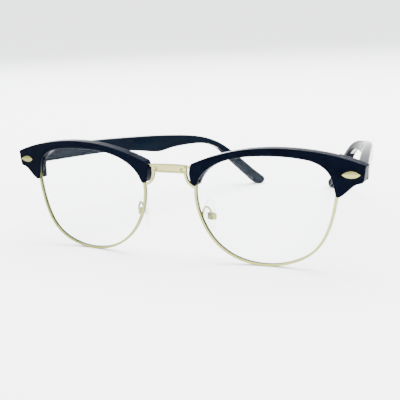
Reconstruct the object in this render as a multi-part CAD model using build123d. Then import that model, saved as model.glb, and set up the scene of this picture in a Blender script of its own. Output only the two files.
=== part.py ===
"""Half rim eyeglasses: gold wire eyewires under plastic brow pieces, with folding temples.

Millimetres. +X is to the right of someone facing the front, the front looks towards -Y, +Z is up.
Z = 0 is the table that the eyewires and the temple tips rest on. Every right-hand part is modelled
at +X, with Y = 0 at the middle of the bridge, and mirrored for the left. The whole is then moved
along Y, so that the origin is under the middle of its box.
"""
from build123d import *
import os
from math import asin, atan2, cos, radians, sin, sqrt

# ---- front ----
LENS_WIDTH = 50.0          # eyewire's middle line, across
LENS_HEIGHT = 39.45        # and from its lowest to its highest point
LENS_GAP = 20.6            # between the two eyewires' middle lines
END_WIDTH = 9.7            # brow piece, past the eyewire
FACE_RADIUS = 425.0        # the front is bent to this radius, seen from above
RIM_WIDTH = 0.85           # eyewire, seen from the front
RIM_DEPTH = 1.3            # eyewire, front to back
RIM_POINTS = 48            # points that carry a grown or shrunk outline
GROOVE_DEPTH = 0.3         # lens groove in the eyewire
GROOVE_WIDTH = 0.6
LENS_THICKNESS = 1.1
BROW_FRONT = 1.7           # brow piece in front of the eyewire's middle
BROW_BACK = 2.6            # and behind it
BROW_ROUND = 0.5           # rounded edges of the brow piece
RIM_SLIT = 0.2             # cut that lets the lens in, closed by the closing block

LENS_NASAL = LENS_GAP / 2
LENS_TEMPORAL = LENS_NASAL + LENS_WIDTH
HALF_WIDTH = LENS_TEMPORAL + END_WIDTH
HINGE_LEVEL = 0.83         # height of the hinge, as a share of the lens height
BLOCK_LEVELS = (0.688, 0.818)
TAB_LEVEL = 0.803
PAD_LEVEL = 0.386
BRIDGE_LEVELS = (0.788, 0.865)

# ---- hinge end of the brow piece, from the outer side of the eyewire ----
ENDPIECE_IN = 0.1          # the deep hinge end begins this far inside the eyewire
ENDPIECE_BACK = 8.2        # its rear face
HINGE_OUT = 3.3            # hinge screw
HINGE_BEHIND = 2.3         # hinge screw, behind the rear face
KNUCKLE_R = 1.25
KNUCKLE_H = 1.5
KNUCKLE_GAP = 0.05
PIN_R = 0.6
PIN_CLEARANCE = 0.04       # running fit of the temple's knuckle on the screw
LEAF = 0.9                 # thickness of both hinge leaves
LEAF_HEIGHT = 4.7
LEAF_WIDTH = 4.2
LEAF_LENGTH = 6.5          # of the leaf moulded into the temple
LEAF_DEEP = 0.7            # its depth below the temple's inner face

# ---- closing block, in the brow piece at the outer side of the eyewire ----
BLOCK_OUT = (0.2, 2.7)
BLOCK_DEPTH = 1.9
BLOCK_GAP = 0.1
RIM_SCREW_R = 0.5

# ---- nasal tab and screw that hold the brow piece ----
TAB_R = 1.0
TAB_OUT = 0.15
TAB_SCREW_R = 0.4

# ---- pointed oval rivet on the brow piece ----
RIVET_OUT = 5.0
RIVET_HALF = 3.0
RIVET_RISE = 1.2
RIVET_PROUD = 0.35
RIVET_SUNK = 0.5
RIVET_PIN_R = 0.45
RIVET_PIN_SPREAD = 1.6

# ---- bridge ----
BRIDGE_FRONT = 0.45
BRIDGE_BACK = 0.65
BRIDGE_END = 3.3           # half the bar is this much shorter than half the lens gap
RAIL_PROUD = 0.4
RAIL_HEIGHTS = (0.75, 0.5)
ARM_WIDTH = 0.9            # arm from the bar down to the eyewire
LUG_HEIGHT = 1.0           # lug from the top of the bar to the eyewire, through the brow piece
MARK_R = 0.16              # engraved chevron near each end of the bar
MARK_DEEP = 0.12

# ---- temple, in its own frame: u runs back from the front of the hinge, v outwards ----
TEMPLE_V = 1.8             # inner face of the temple, outside the hinge screw
TEMPLE_THICK = 3.6
TEMPLE_GAP = 0.2           # between the open temple and the brow piece
STRAIGHT = 62.0            # straight run before the temple bends inwards
BEND_RADIUS = 125.0
TIP_U = 127.6
TIP_R = 2.15
TEMPLE_ROUND = 0.7
REST_FOLD = 13.5           # the temples stand this far in from fully open
CORE_THICK = 1.2
CORE_HEIGHT = 1.4
CORE_START = 12.0

# ---- nose pad, about the middle of its box ----
PAD_IN = 4.3               # outside the nasal side of the eyewire
PAD_BEHIND = 3.7
PAD_SPLAY = 28.0
PAD_HALF_LENGTH = 6.3
PAD_HALF_WIDTH = 3.0
PAD_THICK = 1.4
PAD_OFFSET = 1.3           # pad's back, in front of the pad screw
BOX_WALL = 0.4
BOX_SLOT = 1.2
BOX_HALF_HEIGHT = 1.05
BOX_DEPTH = 0.7
BOSS_R = 0.7
BOSS_CLEARANCE = 0.05
PAD_SCREW_R = 0.3
ARM_R = 0.33


def level(share):
    """Height on the front, from a share of the lens height."""
    return RIM_WIDTH / 2 + share * LENS_HEIGHT


def across(share):
    """Distance from the middle of the face, from a share of the lens width."""
    return LENS_NASAL + share * LENS_WIDTH


HINGE_X = LENS_TEMPORAL + HINGE_OUT
HINGE_Y = ENDPIECE_BACK + HINGE_BEHIND
HINGE_Z = level(HINGE_LEVEL)
BLOCK_X = (LENS_TEMPORAL + BLOCK_OUT[0], LENS_TEMPORAL + BLOCK_OUT[1])
BLOCK_Z = (level(BLOCK_LEVELS[0]), level(BLOCK_LEVELS[1]))
TAB_X = LENS_NASAL + TAB_OUT
TAB_Z = level(TAB_LEVEL)
RIVET_X = LENS_TEMPORAL + RIVET_OUT
RIVET_Z = HINGE_Z
BRIDGE_BOTTOM = level(BRIDGE_LEVELS[0])
BRIDGE_TOP = level(BRIDGE_LEVELS[1])
PAD_AT = (LENS_NASAL + PAD_IN, PAD_BEHIND, level(PAD_LEVEL))


def face_y(x):
    """Distance of the bent front surface behind the middle of the bridge, at x."""
    return FACE_RADIUS - sqrt(FACE_RADIUS ** 2 - x ** 2)


def block(x0, x1, y0, y1, z0, z1):
    """A box between two corners."""
    return Pos((x0 + x1) / 2, (y0 + y1) / 2, (z0 + z1) / 2) * Box(x1 - x0, y1 - y0, z1 - z0)


def rod(radius, start, end):
    """A round bar between two points."""
    axis = Vector(*end) - Vector(*start)
    return extrude(Plane(origin=start, z_dir=axis) * Circle(radius), axis.length)


def front_slab(outline, front, back):
    """An outline of the front, cut from the bent layer between front and back."""
    layer = Cylinder(FACE_RADIUS + front, 120) - Cylinder(FACE_RADIUS - back, 120)
    return extrude(outline, 30, both=True) & (Pos(0, FACE_RADIUS, 0) * layer)


def spline(*points):
    """A smooth curve through (x, z) points of the front."""
    return Spline(*[(x, 0, z) for x, z in points])


def rim_outline(grow=0.0):
    """The eyewire's middle line as a face, grown outwards by grow."""
    shape = ((0.514, 0.0), (0.704, 0.044), (0.854, 0.159), (0.946, 0.353), (0.990, 0.571), (1.0, 0.745),
             (0.944, 0.898), (0.794, 0.973), (0.554, 1.0), (0.324, 0.978), (0.144, 0.905), (0.030, 0.783),
             (0.0, 0.608), (0.040, 0.378), (0.144, 0.174), (0.314, 0.039))
    middle = Spline(*[(across(u), 0, level(v)) for u, v in shape], periodic=True)
    points = []
    for i in range(RIM_POINTS):
        tangent = middle % (i / RIM_POINTS)
        outward = Vector(tangent.Z, 0, -tangent.X)
        points.append(middle @ (i / RIM_POINTS) + outward * grow)
    return make_face(Spline(*points, periodic=True))


def brow_outline():
    """The brow piece seen from the front: thin over the lens, deep at the hinge end."""
    nasal, outer, high, low = LENS_NASAL, LENS_TEMPORAL, level(0.905), level(0.755)
    top = spline((nasal - 0.9, level(0.883)), (across(0.164), level(0.965)), (across(0.354), level(1.018)),
                 (across(0.594), level(1.04)), (across(0.834), level(1.02)), (outer + 0.7, level(0.978)),
                 (HALF_WIDTH, high))
    side = Line((HALF_WIDTH, 0, high), (HALF_WIDTH - 0.9, 0, low))
    scoop = spline((HALF_WIDTH - 0.9, low), (HALF_WIDTH - 4.0, level(0.733)), (outer + 3.1, level(0.673)),
                   (outer + 1.1, level(0.636)))
    tail = spline((outer + 1.1, level(0.636)), (outer + 0.2, level(0.636)), (outer - 0.3, level(0.655)))
    inner = spline((outer - 0.3, level(0.655)), (outer - 0.9, level(0.738)), (across(0.954), level(0.83)),
                   (across(0.89), level(0.905)), (across(0.762), level(0.953)), (across(0.524), level(0.97)),
                   (across(0.334), level(0.95)), (across(0.164), level(0.883)),
                   (across(0.066), level(0.793)), (nasal + 1.1, level(0.705)))
    nasal_tail = spline((nasal + 1.1, level(0.705)), (nasal + 0.3, level(0.683)), (nasal - 0.8, level(0.693)))
    edge = spline((nasal - 0.8, level(0.693)), (nasal - 1.7, level(0.748)), (nasal - 1.8, level(0.818)),
                  (nasal - 0.9, level(0.883)))
    outline = make_face([top, side, scoop, tail, inner, nasal_tail, edge])
    corner = outline.vertices().sort_by(Axis.X)[-2:].sort_by(Axis.Z)
    outline = fillet(corner[0], 1.2)
    return fillet(outline.vertices().sort_by(Axis.X)[-1], 0.5)


def eyewire():
    """Grooved loop round the lens, with the slit at its closing block."""
    ring = rim_outline(RIM_WIDTH / 2) - rim_outline(-RIM_WIDTH / 2)
    half = RIM_DEPTH / 2
    rim = front_slab(ring, half, half)
    rim -= front_slab(rim_outline(-RIM_WIDTH / 2 + GROOVE_DEPTH), GROOVE_WIDTH / 2, GROOVE_WIDTH / 2)
    middle = (BLOCK_Z[0] + BLOCK_Z[1]) / 2
    x0, x1 = BLOCK_X[0] - RIM_WIDTH, BLOCK_X[1]
    return rim - block(x0, x1, 0, ENDPIECE_BACK, middle - RIM_SLIT / 2, middle + RIM_SLIT / 2)


def lens():
    """Clear lens with the tongue that sits in the eyewire's groove."""
    half = LENS_THICKNESS / 2
    body = front_slab(rim_outline(-RIM_WIDTH / 2), half, half)
    tongue = front_slab(rim_outline(-RIM_WIDTH / 2 + GROOVE_DEPTH), GROOVE_WIDTH / 2, GROOVE_WIDTH / 2)
    return body + tongue


def closing_block():
    """Two halves on the outer side of the eyewire, drawn together by a screw."""
    y = face_y(BLOCK_X[0])
    half = BLOCK_DEPTH / 2
    whole = block(*BLOCK_X, y - half, y + half, *BLOCK_Z)
    whole -= front_slab(rim_outline(RIM_WIDTH / 2), 2 * BLOCK_DEPTH, 2 * BLOCK_DEPTH)
    middle = (BLOCK_Z[0] + BLOCK_Z[1]) / 2
    return whole - block(BLOCK_X[0] - 1, BLOCK_X[1] + 1, y - 3, y + 3,
                         middle - RIM_SLIT / 2, middle + RIM_SLIT / 2)


def rim_screw():
    """Slotted screw of the closing block, head up."""
    x = BLOCK_X[1] - 0.95
    y = face_y(BLOCK_X[0])
    top = BLOCK_Z[1]
    screw = rod(RIM_SCREW_R, (x, y, BLOCK_Z[0] + 0.2), (x, y, top))
    screw += rod(0.8, (x, y, top), (x, y, top + 0.5))
    return screw - block(x - 1, x + 1, y - 0.12, y + 0.12, top + 0.25, top + 1)


def block_pocket():
    """Room for the closing block and its screw head, open to the eyewire's groove."""
    y = face_y(BLOCK_X[0])
    half = BLOCK_DEPTH / 2 + BLOCK_GAP
    return block(BLOCK_X[0], BLOCK_X[1] + BLOCK_GAP, y - half, y + half,
                 BLOCK_Z[0] - BLOCK_GAP, BLOCK_Z[1] + 0.5 + BLOCK_GAP)


def brow_tab():
    """Threaded tab on the nasal side of the eyewire."""
    y = face_y(TAB_X)
    tab = rod(TAB_R, (TAB_X, y - RIM_DEPTH / 2, TAB_Z), (TAB_X, y + RIM_DEPTH / 2, TAB_Z))
    return tab - front_slab(rim_outline(RIM_WIDTH / 2), RIM_DEPTH, RIM_DEPTH)


def brow_screw():
    """Screw from behind, through the rear lip of the brow piece into the tab."""
    back = face_y(TAB_X) + BROW_BACK
    screw = rod(TAB_SCREW_R, (TAB_X, back - 3.2, TAB_Z), (TAB_X, back, TAB_Z))
    screw += rod(0.9, (TAB_X, back, TAB_Z), (TAB_X, back + 0.5, TAB_Z))
    return screw - block(TAB_X - 1, TAB_X + 1, back + 0.25, back + 1, TAB_Z - 0.12, TAB_Z + 0.12)


def rivet_plane():
    """Plane on the front face of the brow piece, at the middle of the rivet."""
    lean = RIVET_X / FACE_RADIUS
    front = Vector(RIVET_X, face_y(RIVET_X) - BROW_FRONT, RIVET_Z)
    return Plane(origin=front, x_dir=(cos(lean), sin(lean), 0), z_dir=(sin(lean), -cos(lean), 0))


def brow_rivet():
    """Domed pointed oval with two pins: one through to the hinge leaf, one blind."""
    upper = ThreePointArc((-RIVET_HALF, 0), (0, RIVET_RISE), (RIVET_HALF, 0))
    lower = ThreePointArc((RIVET_HALF, 0), (0, -RIVET_RISE), (-RIVET_HALF, 0))
    plate = extrude(make_face([upper, lower]), RIVET_SUNK + RIVET_PROUD)
    dome_r = 2 * RIVET_RISE
    dome = Pos(0, 0, RIVET_PROUD - dome_r) * Rot(0, 90, 0) * Cylinder(dome_r, 4 * RIVET_HALF)
    head = rivet_plane() * ((Pos(0, 0, -RIVET_SUNK) * plate) & dome)
    start = face_y(RIVET_X) - BROW_FRONT + 0.3
    inside, outside = RIVET_X - RIVET_PIN_SPREAD, RIVET_X + RIVET_PIN_SPREAD
    through = rod(RIVET_PIN_R, (inside, start, RIVET_Z), (inside, ENDPIECE_BACK + LEAF, RIVET_Z))
    blind = rod(RIVET_PIN_R, (outside, start, RIVET_Z), (outside, ENDPIECE_BACK - 1, RIVET_Z))
    return head + through + blind


def brow():
    """Plastic brow piece: front and rear lips over the eyewire, and the deep hinge end."""
    outline = brow_outline()
    body = front_slab(outline, BROW_FRONT, BROW_BACK)
    deep = extrude(outline, 30, both=True) & block(
        LENS_TEMPORAL - ENDPIECE_IN, 2 * HALF_WIDTH, -10, ENDPIECE_BACK, 0, 2 * LENS_HEIGHT)
    deep &= Pos(0, FACE_RADIUS, 0) * Cylinder(FACE_RADIUS + BROW_FRONT, 120)
    body += deep
    front = [edge for edge in body.edges() if edge.length > 0.3 and abs(
        edge.center().Y - face_y(edge.center().X) + BROW_FRONT) < 0.03]
    body = fillet(front, BROW_ROUND)
    body -= front_slab(rim_outline(RIM_WIDTH / 2), RIM_DEPTH / 2, RIM_DEPTH / 2)
    return body - block_pocket() - brow_tab() - brow_screw() - brow_rivet() - bridge_lug()


def bridge_arm():
    """Thin arm that stands off from the nasal edge of the brow piece and joins the eyewire."""
    x = LENS_NASAL
    line = ((x - 3.7, level(0.85)), (x - 3.6, level(0.75)), (x - 2.7, level(0.703)),
            (x - 1.2, level(0.674)), (x + 0.3, level(0.66)))
    path = Spline(*[(px, 0, pz) for px, pz in line])
    sides = []
    for offset in (ARM_WIDTH / 2, -ARM_WIDTH / 2):
        points = []
        for i in range(7):
            along = path % (i / 6)
            points.append(path @ (i / 6) + Vector(along.Z, 0, -along.X) * offset)
        sides.append(points)
    near, far = sides
    return make_face([Spline(*near), Line(near[-1], far[-1]), Spline(*far), Line(near[0], far[0])])


def bridge_lug():
    """Lug from the bar's end to the eyewire, under the brow piece."""
    top = BRIDGE_TOP - 0.35
    outline = Plane.XZ * Pos(LENS_NASAL - BRIDGE_END / 2 + 0.5, top - LUG_HEIGHT / 2) * Rectangle(
        BRIDGE_END + 1.2, LUG_HEIGHT)
    return front_slab(outline - rim_outline(RIM_WIDTH / 2 - 0.01), 0, BRIDGE_BACK - 0.05)


def bridge():
    """Flat bar with two rails and an engraved chevron near each end, and the two arms."""
    half = LENS_NASAL - BRIDGE_END
    drop = 0.2
    top = ThreePointArc((-half, 0, BRIDGE_TOP - drop), (0, 0, BRIDGE_TOP), (half, 0, BRIDGE_TOP - drop))
    bottom = ThreePointArc((half, 0, BRIDGE_BOTTOM - drop), (0, 0, BRIDGE_BOTTOM),
                           (-half, 0, BRIDGE_BOTTOM - drop))
    bar = make_face([top, Line(top @ 1, bottom @ 0), bottom, Line(bottom @ 1, top @ 0)])
    arm = bridge_arm() - rim_outline(RIM_WIDTH / 2)
    body = front_slab(bar + arm + mirror(arm, about=Plane.YZ), BRIDGE_FRONT, BRIDGE_BACK)
    body += bridge_lug() + mirror(bridge_lug(), about=Plane.YZ)
    upper, lower = RAIL_HEIGHTS
    for middle, height in ((BRIDGE_TOP - 0.3 - upper / 2, upper), (BRIDGE_BOTTOM + lower / 2, lower)):
        rail = Plane.XZ * Pos(0, middle) * Rectangle(2 * half - 0.8, height)
        body += front_slab(rail, BRIDGE_FRONT + RAIL_PROUD, 0)
    y = -BRIDGE_FRONT + MARK_R - MARK_DEEP
    z = (BRIDGE_TOP + BRIDGE_BOTTOM) / 2 - 0.2
    for side in (-1, 1):
        point = (side * (half - 2.4), y, z)
        for rise in (-0.65, 0.65):
            body -= rod(MARK_R, point, (side * (half - 1.3), y, z + rise))
    return body


def knuckle(order, bore):
    """One knuckle of the hinge: 0 and 2 belong to the front leaf, 1 to the temple leaf."""
    bottom = HINGE_Z + (order - 1.5) * KNUCKLE_H + (order - 1) * KNUCKLE_GAP
    barrel = rod(KNUCKLE_R, (HINGE_X, HINGE_Y, bottom), (HINGE_X, HINGE_Y, bottom + KNUCKLE_H))
    hole = rod(bore, (HINGE_X, HINGE_Y, bottom - 1), (HINGE_X, HINGE_Y, bottom + KNUCKLE_H + 1))
    return barrel, hole, bottom


def hinge_front_leaf():
    """Leaf on the rear face of the brow piece, with the outer two knuckles."""
    right = HINGE_X + KNUCKLE_R + 0.1
    bottom = HINGE_Z - LEAF_HEIGHT / 2
    back = ENDPIECE_BACK + LEAF
    leaf = block(right - LEAF_WIDTH, right, ENDPIECE_BACK, back, bottom, bottom + LEAF_HEIGHT)
    holes = []
    for order in (0, 2):
        barrel, hole, low = knuckle(order, PIN_R)
        web = block(HINGE_X - 0.9, HINGE_X + 0.9, back - 0.1, HINGE_Y, low, low + KNUCKLE_H)
        leaf += barrel + web
        holes.append(hole)
    for hole in holes:
        leaf -= hole
    return leaf - brow_rivet()


def hinge_screw():
    """Slotted screw down through all three knuckles."""
    bottom = HINGE_Z - 1.5 * KNUCKLE_H - KNUCKLE_GAP
    top = HINGE_Z + 1.5 * KNUCKLE_H + KNUCKLE_GAP
    screw = rod(PIN_R, (HINGE_X, HINGE_Y, bottom - 0.2), (HINGE_X, HINGE_Y, top))
    screw += rod(1.1, (HINGE_X, HINGE_Y, top), (HINGE_X, HINGE_Y, top + 0.6))
    slot = block(HINGE_X - 2, HINGE_X + 2, HINGE_Y - 0.15, HINGE_Y + 0.15, top + 0.3, top + 1)
    return screw - slot


def temple_plan(inset, thickness):
    """Temple seen from above: straight, then bent inwards."""
    x0 = HINGE_X + TEMPLE_V + inset
    x1 = x0 + thickness
    y0 = ENDPIECE_BACK + TEMPLE_GAP
    y1 = ENDPIECE_BACK + STRAIGHT
    centre = x0 - inset - BEND_RADIUS
    turn = asin((TIP_U + TIP_R + 3 - STRAIGHT) / BEND_RADIUS)
    ends = []
    for x in (x0, x1):
        r = x - centre
        ends.append(((centre + r * cos(turn / 2), y1 + r * sin(turn / 2)),
                     (centre + r * cos(turn), y1 + r * sin(turn))))
    return make_face([
        Line((x0, y0), (x1, y0)), Line((x1, y0), (x1, y1)),
        ThreePointArc((x1, y1), ends[1][0], ends[1][1]),
        Line(ends[1][1], ends[0][1]),
        ThreePointArc(ends[0][1], ends[0][0], (x0, y1)), Line((x0, y1), (x0, y0))])


def along(*points):
    """Curve on the temple's side: shares of its length, and of the hinge's height over the tip."""
    return Spline(*[(0, ENDPIECE_BACK + TEMPLE_GAP + u * TIP_U, TIP_R + w * (HINGE_Z - TIP_R))
                    for u, w in points])


def temple_side():
    """Temple seen from the side: bump, neck, drop behind the ear, round tip."""
    lean = atan2(0.638 * (HINGE_Z - TIP_R), 0.14 * TIP_U)
    middle = Vector(0, ENDPIECE_BACK + TIP_U, TIP_R)
    across_tip = Vector(0, sin(lean), cos(lean)) * TIP_R
    end = middle + Vector(0, cos(lean), -sin(lean)) * TIP_R
    top = along((0, 1.091), (0.265, 1.047), (0.50, 0.965), (0.672, 0.89), (0.774, 0.811), (0.86, 0.638))
    drop = Spline(top @ 1, middle + across_tip, tangents=[top % 1, Vector(0, sin(lean), -cos(lean)) * 1])
    round_tip = ThreePointArc(middle + across_tip, end, middle - across_tip)
    bottom = along((0.853, 0.55), (0.79, 0.694), (0.704, 0.726), (0.618, 0.713), (0.575, 0.695),
                   (0.531, 0.717), (0.437, 0.792), (0.281, 0.858), (0, 0.909))
    rise = Spline(middle - across_tip, bottom @ 0)
    front = Line(bottom @ 1, top @ 0)
    return make_face([top, drop, round_tip, rise, bottom, front])


def core_side():
    """The core wire from the side: a strip along the middle of the temple."""
    shape = ((CORE_START / TIP_U, 0.99), (0.281, 0.953), (0.5, 0.865), (0.672, 0.808), (0.766, 0.757),
             (0.829, 0.644), (0.947, 0.184))
    rise = CORE_HEIGHT / 2 / (HINGE_Z - TIP_R)
    upper = along(*[(u, w + rise) for u, w in shape])
    lower = along(*[(u, w - rise) for u, w in shape])
    return make_face([upper, Line(upper @ 1, lower @ 1), lower, Line(upper @ 0, lower @ 0)])


def temple_core():
    """Flat metal wire inside the temple."""
    plan = temple_plan((TEMPLE_THICK - CORE_THICK) / 2, CORE_THICK)
    return extrude(core_side(), 80, both=True) & extrude(plan, 60)


def hinge_temple_leaf():
    """Leaf moulded into the temple, with the middle knuckle standing out of its inner face."""
    inner = HINGE_X + TEMPLE_V
    start = HINGE_Y + 1.5
    deep = inner + LEAF_DEEP
    low = HINGE_Z - KNUCKLE_H / 2
    leaf = block(deep, deep + LEAF, start, start + LEAF_LENGTH, low - 0.4, low + KNUCKLE_H + 0.4)
    barrel, hole, low = knuckle(1, PIN_R + PIN_CLEARANCE)
    web = block(HINGE_X, deep + LEAF, HINGE_Y - 0.2, start, low, low + KNUCKLE_H)
    return leaf + barrel + web - hole


def temple():
    """Plastic temple: the side outline cut from the bent plan, edges rounded."""
    body = extrude(temple_side(), 80, both=True) & extrude(temple_plan(0, TEMPLE_THICK), 60)
    return fillet(body.edges(), TEMPLE_ROUND)


def pad_plane():
    """Frame of the nose pad: z towards the nose, x along the pad screw, y up the pad."""
    splay = radians(PAD_SPLAY)
    return Plane(origin=PAD_AT, x_dir=(-sin(splay), -cos(splay), 0), z_dir=(-cos(splay), sin(splay), 0))


def pad_box():
    """U-shaped box: two ears for the pad screw, open towards the nose."""
    half = BOX_SLOT / 2 + BOX_WALL
    box = block(-half, half, -BOX_HALF_HEIGHT, BOX_HALF_HEIGHT, -BOSS_R - 0.1 - BOX_WALL, BOX_DEPTH)
    box -= block(-BOX_SLOT / 2, BOX_SLOT / 2, -5, 5, -BOSS_R - 0.1, 5)
    box -= rod(PAD_SCREW_R, (-5, 0, 0), (5, 0, 0))
    return pad_plane() * box


def pad_screw():
    """Slotted screw across the box, head to the rear."""
    half = BOX_SLOT / 2 + BOX_WALL
    screw = rod(PAD_SCREW_R, (-half, 0, 0), (half, 0, 0)) + rod(0.6, (-half - 0.4, 0, 0), (-half, 0, 0))
    return pad_plane() * (screw - block(-half - 1, -half - 0.2, -1, 1, -0.1, 0.1))


def pad_insert():
    """Metal insert of the pad: a boss on the screw and a foot moulded into the pad."""
    half = BOX_SLOT / 2 - BOSS_CLEARANCE
    boss = rod(BOSS_R, (-half, 0, 0), (half, 0, 0))
    boss += block(-half, half, -0.6, 0.6, 0, PAD_OFFSET)
    boss += block(-1.0, 1.0, -1.3, 1.3, PAD_OFFSET, PAD_OFFSET + 0.4)
    return pad_plane() * (boss - rod(PAD_SCREW_R + PIN_CLEARANCE, (-5, 0, 0), (5, 0, 0)))


def nose_pad():
    """Clear oval pad, moulded round the foot of its insert."""
    pad = extrude(Plane(origin=(0, 0, PAD_OFFSET)) * Ellipse(PAD_HALF_WIDTH, PAD_HALF_LENGTH), PAD_THICK)
    pad = fillet(pad.edges(), 0.6)
    return pad_plane() * pad - pad_insert()


def pad_arm():
    """Wire from the back of the eyewire, up in a loop and down to the pad box."""
    x, y, z = PAD_AT
    start = (x - 2.3, face_y(x) + RIM_DEPTH / 2 - 0.15, z + 0.1)
    ear = BOX_SLOT / 2 + BOX_WALL / 2
    end = pad_plane().from_local_coords((ear, BOX_HALF_HEIGHT - 0.15, -BOSS_R - 0.1 - BOX_WALL / 2))
    path = Spline(start, (x - 2.3, y - 2.5, z + 2.4), (x - 1.2, y - 2.1, z + 3.9),
                  (x - 0.2, y - 1.5, z + 2.9), (end.X, end.Y, end.Z))
    wire = sweep(Plane(origin=path @ 0, z_dir=path % 0) * Circle(ARM_R), path)
    wire -= front_slab(rim_outline(RIM_WIDTH), RIM_DEPTH, RIM_DEPTH / 2)
    return wire - pad_box()


def main():
    """Build every node, mirrored for the left side."""
    os.makedirs("parts", exist_ok=True)
    axis = Axis((HINGE_X, HINGE_Y, 0), (0, 0, 1))
    leaf = hinge_temple_leaf()
    core = temple_core()
    fixed = {
        "eyewire": eyewire(), "lens": lens(), "closing_block": closing_block() - rim_screw(),
        "rim_screw": rim_screw(), "brow": brow(), "brow_tab": brow_tab() - brow_screw(),
        "brow_screw": brow_screw(), "brow_rivet": brow_rivet(), "hinge_front_leaf": hinge_front_leaf(),
        "hinge_screw": hinge_screw(), "pad_arm": pad_arm(), "pad_box": pad_box(),
        "pad_screw": pad_screw(), "pad_insert": pad_insert(), "nose_pad": nose_pad()}
    moving = {
        "temple": temple() - core - leaf, "temple_core": core, "hinge_temple_leaf": leaf}
    sided = dict(fixed)
    for name, shape in moving.items():
        sided[name] = shape.rotate(axis, REST_FOLD)
    nodes = {"bridge": bridge()}
    for name, shape in sided.items():
        nodes[f"right_{name}"] = shape
        nodes[f"left_{name}"] = mirror(shape, about=Plane.YZ)
    front = min(shape.bounding_box().min.Y for shape in nodes.values())
    back = max(shape.bounding_box().max.Y for shape in nodes.values())
    to_middle = Pos(0, -(front + back) / 2, 0)
    for name, shape in nodes.items():
        export_step(to_middle * shape, f"parts/{name}.step")


if __name__ == "__main__":
    main()
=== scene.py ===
"""Looks of the half rim eyeglasses: finishes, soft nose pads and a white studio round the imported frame."""

import logging
import math
from dataclasses import dataclass, field
from enum import Enum
from typing import Dict, List, Optional, Sequence, Tuple, Union

import bmesh
import bpy
from mathutils import Matrix, Vector

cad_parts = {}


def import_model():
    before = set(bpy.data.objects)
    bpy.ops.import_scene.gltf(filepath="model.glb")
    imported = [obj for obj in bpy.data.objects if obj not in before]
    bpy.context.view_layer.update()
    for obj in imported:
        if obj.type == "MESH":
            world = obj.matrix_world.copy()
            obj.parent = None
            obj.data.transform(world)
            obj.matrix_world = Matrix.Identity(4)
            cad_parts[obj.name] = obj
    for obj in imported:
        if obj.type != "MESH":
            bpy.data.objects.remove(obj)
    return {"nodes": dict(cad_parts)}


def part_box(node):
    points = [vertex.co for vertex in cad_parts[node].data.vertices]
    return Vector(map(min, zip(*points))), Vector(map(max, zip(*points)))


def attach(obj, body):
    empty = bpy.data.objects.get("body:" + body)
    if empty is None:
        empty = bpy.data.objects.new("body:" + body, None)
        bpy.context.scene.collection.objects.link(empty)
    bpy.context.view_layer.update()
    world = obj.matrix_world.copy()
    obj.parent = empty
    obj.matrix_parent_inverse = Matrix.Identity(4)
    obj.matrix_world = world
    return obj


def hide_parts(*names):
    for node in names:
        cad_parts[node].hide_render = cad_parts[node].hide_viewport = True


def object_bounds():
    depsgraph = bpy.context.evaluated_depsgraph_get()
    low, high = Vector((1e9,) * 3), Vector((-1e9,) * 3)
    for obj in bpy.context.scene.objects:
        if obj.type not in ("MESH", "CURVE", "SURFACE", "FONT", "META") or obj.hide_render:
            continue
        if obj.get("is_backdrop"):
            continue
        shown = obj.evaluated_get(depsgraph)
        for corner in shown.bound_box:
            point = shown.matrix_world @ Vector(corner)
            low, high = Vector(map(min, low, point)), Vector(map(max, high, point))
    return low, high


LOG = logging.getLogger("eyeglasses")
Colour = Tuple[float, float, float]
Value = Union[float, Sequence[float]]
MM = 0.001


class Side(Enum):
    """The wearer's halves of the frame, with the sign of X on each."""

    RIGHT = 1
    LEFT = -1

    @property
    def word(self) -> str:
        """Return the word that starts this side's node names."""
        return self.name.lower()


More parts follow.
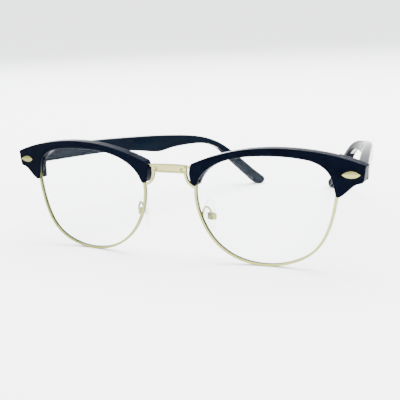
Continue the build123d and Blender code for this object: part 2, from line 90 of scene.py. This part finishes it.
class Graph:
    """A material's node tree with short calls for adding and joining nodes."""

    def __init__(self, name: str) -> None:
        """Start an empty node tree.

        Args:
            name: Name of the material.
        """
        self.material = bpy.data.materials.new(name)
        self.material.use_nodes = True
        self.tree = self.material.node_tree
        self.tree.nodes.clear()
        self.output = self.tree.nodes.new("ShaderNodeOutputMaterial")
        self.place = self.tree.nodes.new("ShaderNodeTexCoord")

    def node(self, kind: str, **settings: object) -> bpy.types.Node:
        """Add a node.

        Args:
            kind: Blender's name for the node type.
            settings: Properties of the node to set.

        Returns:
            The new node.
        """
        made = self.tree.nodes.new(kind)
        for key, value in settings.items():
            setattr(made, key, value)
        return made

    def join(self, source: bpy.types.NodeSocket, target: bpy.types.NodeSocket) -> None:
        """Link one socket to another.

        Args:
            source: Output socket.
            target: Input socket.
        """
        self.tree.links.new(source, target)

    def noise(self, scale: float, detail: float = 3.0, stretch: Colour = (1, 1, 1),
              roughness: float = 0.5, turn: Colour = (0, 0, 0)) -> bpy.types.NodeSocket:
        """Add a noise pattern on Object coordinates.

        Args:
            scale: Features per metre.
            detail: Levels of finer noise.
            stretch: Scale of each axis before the noise is read.
            roughness: Strength of the finer noise.
            turn: Turn of the pattern about each axis, in radians.

        Returns:
            The pattern's grey output.
        """
        mapping = self.node("ShaderNodeMapping")
        mapping.inputs["Scale"].default_value = stretch
        mapping.inputs["Rotation"].default_value = turn
        self.join(self.place.outputs["Object"], mapping.inputs["Vector"])
        pattern = self.node("ShaderNodeTexNoise")
        pattern.inputs["Scale"].default_value = scale
        pattern.inputs["Detail"].default_value = detail
        pattern.inputs["Roughness"].default_value = roughness
        self.join(mapping.outputs["Vector"], pattern.inputs["Vector"])
        return pattern.outputs["Fac"]

    def ramp(self, source: bpy.types.NodeSocket,
             stops: Sequence[Tuple[float, Colour]]) -> bpy.types.NodeSocket:
        """Turn a grey value into a colour.

        Args:
            source: Grey value.
            stops: Positions and colours of the ramp.

        Returns:
            The ramp's colour output.
        """
        ramp = self.node("ShaderNodeValToRGB")
        elements = ramp.color_ramp.elements
        while len(elements) < len(stops):
            elements.new(0.5)
        for element, (position, colour) in zip(elements, stops):
            element.position = position
            element.color = (*colour, 1.0)
        self.join(source, ramp.inputs["Fac"])
        return ramp.outputs["Color"]

    def span(self, source: bpy.types.NodeSocket, low: float, high: float,
             start: float = 0.3, end: float = 0.7) -> bpy.types.NodeSocket:
        """Map a grey value to a range.

        Args:
            source: Grey value.
            low: Result at start.
            high: Result at end.
            start: Grey value that gives low.
            end: Grey value that gives high.

        Returns:
            The mapped value.
        """
        made = self.node("ShaderNodeMapRange")
        self.join(source, made.inputs["Value"])
        for key, value in (("From Min", start), ("From Max", end), ("To Min", low), ("To Max", high)):
            made.inputs[key].default_value = value
        return made.outputs["Result"]

    def blend(self, share: bpy.types.NodeSocket, first: bpy.types.NodeSocket,
              second: bpy.types.NodeSocket) -> bpy.types.NodeSocket:
        """Mix two colours.

        Args:
            share: Share of the second colour.
            first: First colour.
            second: Second colour.

        Returns:
            The mixed colour.
        """
        mix = self.node("ShaderNodeMix", data_type="RGBA")
        self.join(share, mix.inputs[0])
        self.join(first, mix.inputs[6])
        self.join(second, mix.inputs[7])
        return mix.outputs[2]

    def slant(self, low: float, high: float, start: float, end: float) -> bpy.types.NodeSocket:
        """Add a value that grows as the surface turns away from the viewer.

        Args:
            low: Result up to start.
            high: Result from end on.
            start: Turn that still gives low, where 0 faces the viewer and 1 is edge on.
            end: Turn that first gives high.

        Returns:
            The value.
        """
        weight = self.node("ShaderNodeLayerWeight")
        weight.inputs["Blend"].default_value = 0.5
        return self.span(weight.outputs["Facing"], low, high, start, end)

    def bump(self, heights: Sequence[Tuple[bpy.types.NodeSocket, float, float]],
             edge_mm: float = 0.0) -> bpy.types.NodeSocket:
        """Stack bump maps, over edges that catch the light as if rounded.

        Args:
            heights: Height, strength and distance in metres of each bump.
            edge_mm: Radius of the rounded look of the edges.

        Returns:
            The bumped normal.
        """
        normal: Optional[bpy.types.NodeSocket] = None
        if edge_mm:
            edge = self.node("ShaderNodeBevel", samples=4)
            edge.inputs["Radius"].default_value = edge_mm * MM
            normal = edge.outputs["Normal"]
        for height, strength, distance in heights:
            made = self.node("ShaderNodeBump")
            made.inputs["Strength"].default_value = strength
            made.inputs["Distance"].default_value = distance
            self.join(height, made.inputs["Height"])
            if normal is not None:
                self.join(normal, made.inputs["Normal"])
            normal = made.outputs["Normal"]
        return normal

    def principled(self, constants: Dict[str, Value],
                   links: Dict[str, bpy.types.NodeSocket]) -> bpy.types.Node:
        """Add the Principled shader.

        Args:
            constants: Values set on its own sockets.
            links: Sockets driven by nodes.

        Returns:
            The shader node.
        """
        shader = self.node("ShaderNodeBsdfPrincipled")
        for key, value in constants.items():
            shader.inputs[key].default_value = value
        for key, socket in links.items():
            self.join(socket, shader.inputs[key])
        return shader

    def finish(self, shader: bpy.types.Node) -> bpy.types.Material:
        """Join a shader to the output.

        Args:
            shader: The shader node.

        Returns:
            The finished material.
        """
        self.join(shader.outputs[0], self.output.inputs["Surface"])
        return self.material


@dataclass(frozen=True)
class PolishedAcetate:
    """Tumbled and polished cellulose acetate with faint clouds below the gloss.

    Attributes:
        name: Name of the material.
        body: Colour of the sheet.
        cloud: Colour of the faint clouds in it.
        ior: Index that sets how strongly the polished skin mirrors; near 1 it stays black in a white room.
        clouds_per_m: Clouds to a metre.
    """

    name: str
    body: Colour
    cloud: Colour
    ior: float = 1.05
    clouds_per_m: float = 90.0

    def make(self) -> bpy.types.Material:
        """Return the material."""
        g = Graph(self.name)
        clouds = g.noise(self.clouds_per_m, 5.0, (1.0, 0.6, 1.6), 0.6)
        colour = g.ramp(clouds, ((0.30, self.body), (0.72, self.cloud)))
        rough = g.span(g.noise(700.0, 4.0, (1.0, 0.25, 1.0), 0.65), 0.05, 0.12)
        polish = g.noise(160.0, 1.0)
        scratch = g.noise(5200.0, 2.0, (1.0, 0.08, 1.0), 0.7, (0.3, 0.0, 0.2))
        normal = g.bump(((polish, 0.03, 0.0002), (scratch, 0.012, 0.00002)), 0.2)
        shader = g.principled({"IOR": self.ior}, {"Base Color": colour, "Roughness": rough, "Normal": normal})
        return g.finish(shader)


@dataclass(frozen=True)
class LightGoldPlate:
    """Pale gold plating over drawn wire and stamped parts, with a painted dark reflection on its flanks.

    Attributes:
        name: Name of the material.
        bright: Colour of the polished plating.
        deep: Colour where handling has warmed it.
        turned: Colour of the flanks, a painted reflection: the plating is darkened where its surface turns
            away from the viewer, in place of the dark side of a room mirrored in it.
        smooth: Lowest roughness.
        coarse: Highest roughness.
        edge_mm: Radius of the rounded look of the edges.
    """

    name: str
    bright: Colour = (0.30, 0.305, 0.10)
    deep: Colour = (0.20, 0.20, 0.06)
    turned: Colour = (0.085, 0.09, 0.03)
    smooth: float = 0.08
    coarse: float = 0.2
    edge_mm: float = 0.12

    def make(self) -> bpy.types.Material:
        """Return the material."""
        g = Graph(self.name)
        tarnish = g.noise(320.0, 5.0, (1, 1, 1), 0.62)
        face = g.ramp(tarnish, ((0.32, self.bright), (0.55, self.bright), (0.78, self.deep)))
        # Painted reflection: the plating's colour is blended towards a dark flank colour as the surface turns
        # edge-on to the viewer.
        painted_flank_reflection = g.ramp(tarnish, ((0.3, self.turned), (0.8, tuple(c * 0.8 for c in self.turned))))
        colour = g.blend(g.slant(0.0, 1.0, 0.08, 0.5), face, painted_flank_reflection)
        grain = g.noise(2400.0, 3.0, (0.35, 1.0, 1.0), 0.6)
        rough = g.span(grain, self.smooth, self.coarse)
        dent = g.noise(900.0, 3.0)
        normal = g.bump(((dent, 0.10, 0.00006), (grain, 0.05, 0.00002)), self.edge_mm)
        shader = g.principled({"Metallic": 1.0, "Anisotropic": 0.25},
                              {"Base Color": colour, "Roughness": rough, "Normal": normal})
        return g.finish(shader)


@dataclass(frozen=True)
class TurnedSteel:
    """Small turned and stamped steel parts, with fine tool marks.

    Attributes:
        name: Name of the material.
        bright: Colour of clean steel.
        dull: Colour of handled steel.
    """

    name: str
    bright: Colour = (0.42, 0.39, 0.33)
    dull: Colour = (0.2, 0.18, 0.15)

    def make(self) -> bpy.types.Material:
        """Return the material."""
        g = Graph(self.name)
        stain = g.noise(900.0, 4.0)
        colour = g.ramp(stain, ((0.35, self.bright), (0.75, self.dull)))
        marks = g.noise(3800.0, 2.0, (1.0, 1.0, 0.2), 0.6)
        rough = g.span(marks, 0.16, 0.36)
        normal = g.bump(((marks, 0.12, 0.00003),), 0.08)
        shader = g.principled({"Metallic": 1.0}, {"Base Color": colour, "Roughness": rough, "Normal": normal})
        return g.finish(shader)


@dataclass(frozen=True)
class ClearLens:
    """Thin clear lens: it passes light straight through and mirrors a little at the rim.

    Attributes:
        name: Name of the material.
        pass_colour: Tint of what is seen through it.
        least: Share of light it mirrors when seen straight on.
        most: Share of light it mirrors at a slant.
    """

    name: str
    pass_colour: Colour = (0.988, 0.996, 0.993)
    least: float = 0.006
    most: float = 0.16

    def make(self) -> bpy.types.Material:
        """Return the material."""
        g = Graph(self.name)
        smear = g.noise(130.0, 4.0, (1, 1, 1), 0.6)
        rough = g.span(smear, 0.0, 0.05, 0.35, 0.8)
        clear = g.node("ShaderNodeBsdfTransparent")
        clear.inputs["Color"].default_value = (*self.pass_colour, 1.0)
        mirror = g.node("ShaderNodeBsdfAnisotropic", distribution="GGX")
        mirror.inputs["Color"].default_value = (0.92, 0.97, 1.0, 1.0)
        g.join(rough, mirror.inputs["Roughness"])
        g.join(g.bump(((smear, 0.02, 0.0001),)), mirror.inputs["Normal"])
        mix = g.node("ShaderNodeMixShader")
        g.join(g.slant(self.least, self.most, 0.5, 1.0), mix.inputs[0])
        g.join(clear.outputs[0], mix.inputs[1])
        g.join(mirror.outputs[0], mix.inputs[2])
        return g.finish(mix)


@dataclass(frozen=True)
class ClearSilicone:
    """Soft clear silicone of the nose pads.

    Attributes:
        name: Name of the material.
        tint: Faint colour of the silicone.
    """

    name: str
    tint: Colour = (0.95, 0.965, 0.96)

    def make(self) -> bpy.types.Material:
        """Return the material."""
        g = Graph(self.name)
        haze = g.noise(900.0, 3.0)
        rough = g.span(haze, 0.08, 0.22)
        dimple = g.noise(2200.0, 2.0)
        normal = g.bump(((dimple, 0.06, 0.00004),))
        colour = g.ramp(haze, ((0.3, self.tint), (0.8, (0.88, 0.90, 0.885))))
        body = g.principled({"IOR": 1.41, "Transmission Weight": 0.85},
                            {"Base Color": colour, "Roughness": rough, "Normal": normal})
        clear = g.node("ShaderNodeBsdfTransparent")
        clear.inputs["Color"].default_value = (0.97, 0.98, 0.98, 1.0)
        mix = g.node("ShaderNodeMixShader")
        mix.inputs[0].default_value = 0.34
        g.join(clear.outputs[0], mix.inputs[1])
        g.join(body.outputs[0], mix.inputs[2])
        return g.finish(mix)


@dataclass(frozen=True)
class StudioPaper:
    """Matt white paper of the studio floor.

    Attributes:
        name: Name of the material.
        white: Colour of the paper.
    """

    name: str
    white: Colour = (0.93, 0.93, 0.935)

    def make(self) -> bpy.types.Material:
        """Return the material."""
        g = Graph(self.name)
        fibre = g.noise(400.0, 4.0)
        colour = g.ramp(fibre, ((0.2, self.white), (0.9, tuple(c * 0.985 for c in self.white))))
        shader = g.principled({"Roughness": 0.9, "Specular IOR Level": 0.2}, {"Base Color": colour})
        return g.finish(shader)


def piece_from(bm: bmesh.types.BMesh, name: str, material: bpy.types.Material) -> bpy.types.Object:
    """Make a smooth-shaded object from a bmesh.

    Args:
        bm: The finished bmesh, which is freed.
        name: Name of the piece.
        material: Its material.

    Returns:
        The new object, at the origin.
    """
    bmesh.ops.remove_doubles(bm, verts=bm.verts[:], dist=1e-7)
    bmesh.ops.recalc_face_normals(bm, faces=bm.faces[:])
    mesh = bpy.data.meshes.new(name)
    for face in bm.faces:
        face.smooth = True
    bm.to_mesh(mesh)
    bm.free()
    mesh.materials.append(material)
    made = bpy.data.objects.new(name, mesh)
    bpy.context.scene.collection.objects.link(made)
    return made


def centre_of(node: str) -> Vector:
    """Return the middle of a CAD node's box.

    Args:
        node: Name of the node.

    Returns:
        The middle point, in metres.
    """
    low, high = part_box(node)
    return (low + high) / 2


@dataclass
class Metalwork:
    """Eyewires, bridge, hinges, screws and pad arms, kept as packed and given their finishes.

    Attributes:
        gold: Names of the plated parts of one side.
        steel: Names of the plain steel parts of one side.
    """

    gold: Tuple[str, ...] = ("eyewire", "brow_rivet", "brow_tab", "closing_block", "pad_arm", "pad_box")
    steel: Tuple[str, ...] = ("rim_screw", "brow_screw", "hinge_front_leaf", "hinge_screw",
                              "hinge_temple_leaf", "pad_screw", "pad_insert", "temple_core")

    def dress(self, nodes: Dict[str, bpy.types.Object]) -> None:
        """Give each metal node its finish.

        Args:
            nodes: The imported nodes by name.
        """
        wire = LightGoldPlate("gold_eyewire").make()
        bar = LightGoldPlate("gold_bridge", bright=(0.40, 0.385, 0.16), edge_mm=0.2).make()
        steel = TurnedSteel("turned_steel").make()
        paint(nodes["bridge"], bar)
        for side in Side:
            for name in self.gold:
                paint(nodes[f"{side.word}_{name}"], wire)
            for name in self.steel:
                paint(nodes[f"{side.word}_{name}"], steel)


@dataclass
class Plastics:
    """Brow pieces and temples, kept as packed and given polished acetate.

    Attributes:
        brow: Finish of the brow pieces.
        temple: Finish of the temples.
    """

    brow: PolishedAcetate = field(default_factory=lambda: PolishedAcetate(
        "acetate_brow", (0.0006, 0.0010, 0.0035), (0.0015, 0.003, 0.008)))
    temple: PolishedAcetate = field(default_factory=lambda: PolishedAcetate(
        "acetate_temple", (0.0007, 0.0017, 0.0042), (0.0017, 0.004, 0.008), 1.06, 70.0))

    def dress(self, nodes: Dict[str, bpy.types.Object]) -> None:
        """Give each plastic node its finish.

        Args:
            nodes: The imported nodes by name.
        """
        for part, finish in (("brow", self.brow), ("temple", self.temple)):
            material = finish.make()
            for side in Side:
                paint(nodes[f"{side.word}_{part}"], material)


@dataclass
class Lenses:
    """The two clear lenses, kept as packed."""

    finish: ClearLens = field(default_factory=lambda: ClearLens("clear_lens"))

    def dress(self, nodes: Dict[str, bpy.types.Object]) -> None:
        """Give both lenses their finish.

        Args:
            nodes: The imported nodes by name.
        """
        material = self.finish.make()
        for side in Side:
            paint(nodes[f"{side.word}_lens"], material)


@dataclass
class NosePads:
    """Crowned drop-shaped pads that stand for the plain packed ones.

    Attributes:
        splay_deg: Turn of the pads from facing straight sideways.
        half_length: Half the pad's length.
        half_width: Half the pad's width.
        thickness: The pad's full thickness.
        narrowing: Share of the width lost at the top of the drop.
        fullness: Power that makes the pad's edge fuller the lower it is.
        crown: Share of the thickness in front of the pad's widest level.
        dish: Share of the thickness by which the middle sinks.
        finish: Clear silicone.
    """

    splay_deg: float = 28.0
    half_length: float = 6.3 * MM
    half_width: float = 3.0 * MM
    thickness: float = 1.4 * MM
    narrowing: float = 0.20
    fullness: float = 0.62
    crown: float = 0.78
    dish: float = 0.10
    finish: ClearSilicone = field(default_factory=lambda: ClearSilicone("clear_silicone"))

    def shape(self) -> bmesh.types.BMesh:
        """Return a drop-shaped pad with a crowned face, flat to the XY plane, its back near z = 0."""
        bm = bmesh.new()
        bmesh.ops.create_uvsphere(bm, u_segments=40, v_segments=24, radius=1.0)
        for vert in bm.verts:
            x, y, z = vert.co
            reach = min(1.0, math.hypot(x, y))
            top = 0.5 * (1.0 + y)
            width = self.half_width * (1.0 - self.narrowing * top)
            behind = 1.0 - self.crown
            depth = self.crown if z > 0 else behind
            level = behind + math.copysign(abs(z) ** self.fullness, z) * depth - self.dish * (1.0 - reach)
            vert.co = Vector((x * width, y * self.half_length, self.thickness * level))
        return bm

    def build(self) -> List[bpy.types.Object]:
        """Build both pads in place.

        Returns:
            The two new pieces.
        """
        material = self.finish.make()
        made = []
        for side in Side:
            splay = math.radians(self.splay_deg) * side.value
            toward_nose = Vector((-math.cos(splay) * side.value, math.sin(splay) * side.value, 0.0))
            up = Vector((0.0, 0.0, 1.0))
            across = up.cross(toward_nose)
            turn = Matrix((across, up, toward_nose)).transposed().to_4x4()
            origin = centre_of(f"{side.word}_nose_pad") - toward_nose * (self.thickness / 2)
            bm = self.shape()
            bmesh.ops.transform(bm, matrix=Matrix.Translation(origin) @ turn, verts=bm.verts[:])
            pad = piece_from(bm, f"{side.word}_soft_pad", material)
            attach(pad, f"{side.word}_pad")
            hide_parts(f"{side.word}_nose_pad")
            made.append(pad)
        return made


@dataclass(frozen=True)
class Softbox:
    """A rectangular soft light.

    Attributes:
        name: Name of the lamp.
        at: Its place.
        aim: The point it faces.
        size: Width and height.
        watts: Power.
        colour: Colour of its light.
    """

    name: str
    at: Colour
    aim: Colour
    size: Tuple[float, float]
    watts: float
    colour: Colour = (1, 1, 1)

    def build(self) -> bpy.types.Object:
        """Return the lamp in its place."""
        data = bpy.data.lights.new(self.name, "AREA")
        data.shape = "RECTANGLE"
        data.size, data.size_y = self.size
        data.energy = self.watts
        data.color = self.colour
        lamp = bpy.data.objects.new(self.name, data)
        lamp.location = self.at
        lamp.rotation_mode = "QUATERNION"
        lamp.rotation_quaternion = (Vector(self.aim) - Vector(self.at)).to_track_quat("-Z", "Y")
        bpy.context.scene.collection.objects.link(lamp)
        return lamp


SOFTBOXES = (
    Softbox("softbox_top", (0.0, 0.35, 1.0), (0, 0.05, 0), (1.6, 1.2), 75.0),
    Softbox("softbox_left", (-1.1, 0.35, 0.6), (0, 0, 0.02), (0.7, 0.5), 12.0, (0.96, 0.985, 1.0)),
    Softbox("softbox_right", (1.1, 0.25, 0.55), (0, 0, 0.02), (0.6, 0.5), 10.0),
)


@dataclass
class Studio:
    """Round paper bowl, soft lights and a pale world.

    Attributes:
        radius: Radius of the flat floor.
        middle: Radius of the floor's inner ring.
        sweep: Radius of the curve from the floor up to the wall.
        sweep_steps: Flats that make the curve.
        wall: Height of the wall above the curve.
        sides: Flats round the bowl.
        paper: Finish of the bowl.
        sky: Colour of the world.
        sky_strength: Strength of the world's light.
    """

    radius: float = 1.6
    middle: float = 0.4
    sweep: float = 0.7
    sweep_steps: int = 12
    wall: float = 0.6
    sides: int = 64
    paper: StudioPaper = field(default_factory=lambda: StudioPaper("studio_paper"))
    sky: Colour = (0.95, 0.98, 1.0)
    sky_strength: float = 2.2

    def bowl(self) -> bpy.types.Object:
        """Build the floor and wall as one turned sheet.

        Returns:
            The bowl.
        """
        bm = bmesh.new()
        profile = [Vector((reach, 0.0, 0.0)) for reach in (0.0, self.middle, self.radius)]
        for i in range(1, self.sweep_steps + 1):
            turn = math.radians(90.0 * i / self.sweep_steps)
            profile.append(Vector((self.radius + self.sweep * math.sin(turn), 0.0,
                                   self.sweep * (1.0 - math.cos(turn)))))
        profile.append(profile[-1] + Vector((0.0, 0.0, self.wall)))
        verts = [bm.verts.new(point) for point in profile]
        edges = [bm.edges.new(pair) for pair in zip(verts, verts[1:])]
        bmesh.ops.spin(bm, geom=verts + edges, cent=(0, 0, 0), axis=(0, 0, 1), angle=math.tau,
                       steps=self.sides, use_merge=True, dvec=(0, 0, 0))
        bowl = piece_from(bm, "studio_floor", self.paper.make())
        bowl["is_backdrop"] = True
        return bowl

    def build(self) -> None:
        """Build the bowl, the lamps and the world."""
        self.bowl()
        for softbox in SOFTBOXES:
            softbox.build()
        world = bpy.data.worlds.new("pale_room")
        world.use_nodes = True
        back = world.node_tree.nodes["Background"]
        back.inputs["Color"].default_value = (*self.sky, 1.0)
        back.inputs["Strength"].default_value = self.sky_strength
        bpy.context.scene.world = world


@dataclass
class Viewpoint:
    """Camera in front of the wearer's right, a little above the frame.

    Attributes:
        azimuth: Turn about Z from straight ahead, in degrees.
        elevation: Height above the horizon, in degrees.
        roll: Turn about the line of sight, in degrees.
        distance: Distance from the target.
        focal: Focal length in millimetres on a 36 mm sensor.
        aside: Target's distance to the right of the middle.
        inward: Target's distance behind the front of the box.
        rise: Target's height above the table.
    """

    azimuth: float = 27.0
    elevation: float = 13.0
    roll: float = -2.509
    distance: float = 286.53 * MM
    focal: float = 73.27
    aside: float = 11.773 * MM
    inward: float = 1.62 * MM
    rise: float = 22.2 * MM

    def build(self, low: Vector) -> bpy.types.Object:
        """Place the camera.

        Args:
            low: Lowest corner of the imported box.

        Returns:
            The camera.
        """
        az, el, roll = (math.radians(v) for v in (self.azimuth, self.elevation, self.roll))
        target = Vector((self.aside, low.y + self.inward, low.z + self.rise))
        back = Vector((math.sin(az) * math.cos(el), -math.cos(az) * math.cos(el), math.sin(el)))
        right = Vector((math.cos(az), math.sin(az), 0.0))
        up = back.cross(right)
        across = right * math.cos(roll) + up * math.sin(roll)
        upward = up * math.cos(roll) - right * math.sin(roll)
        data = bpy.data.cameras.new("front_camera")
        data.sensor_width = 36.0
        data.lens = self.focal
        data.clip_start, data.clip_end = 0.01, 20.0
        camera = bpy.data.objects.new("front_camera", data)
        turn = Matrix((across, upward, back)).transposed().to_4x4()
        camera.matrix_world = Matrix.Translation(target + back * self.distance) @ turn
        bpy.context.scene.collection.objects.link(camera)
        bpy.context.scene.camera = camera
        return camera


def paint(node: bpy.types.Object, material: bpy.types.Material) -> None:
    """Give a node one finish.

    Args:
        node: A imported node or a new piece.
        material: Its finish.
    """
    if not node.material_slots:
        node.data.materials.append(material)
    for holder in node.material_slots:
        holder.material = material


def main() -> None:
    """Build the eyeglasses' looks, the studio and the camera."""
    logging.basicConfig(level=logging.INFO, format="%(message)s")
    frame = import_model()
    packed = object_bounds()
    nodes = frame["nodes"]
    Viewpoint().build(packed[0])
    Metalwork().dress(nodes)
    Plastics().dress(nodes)
    Lenses().dress(nodes)
    for pad in NosePads().build():
        LOG.info("%s: %d faces", pad.name, len(pad.data.polygons))
    Studio().build()


if __name__ == "__main__":
    main()
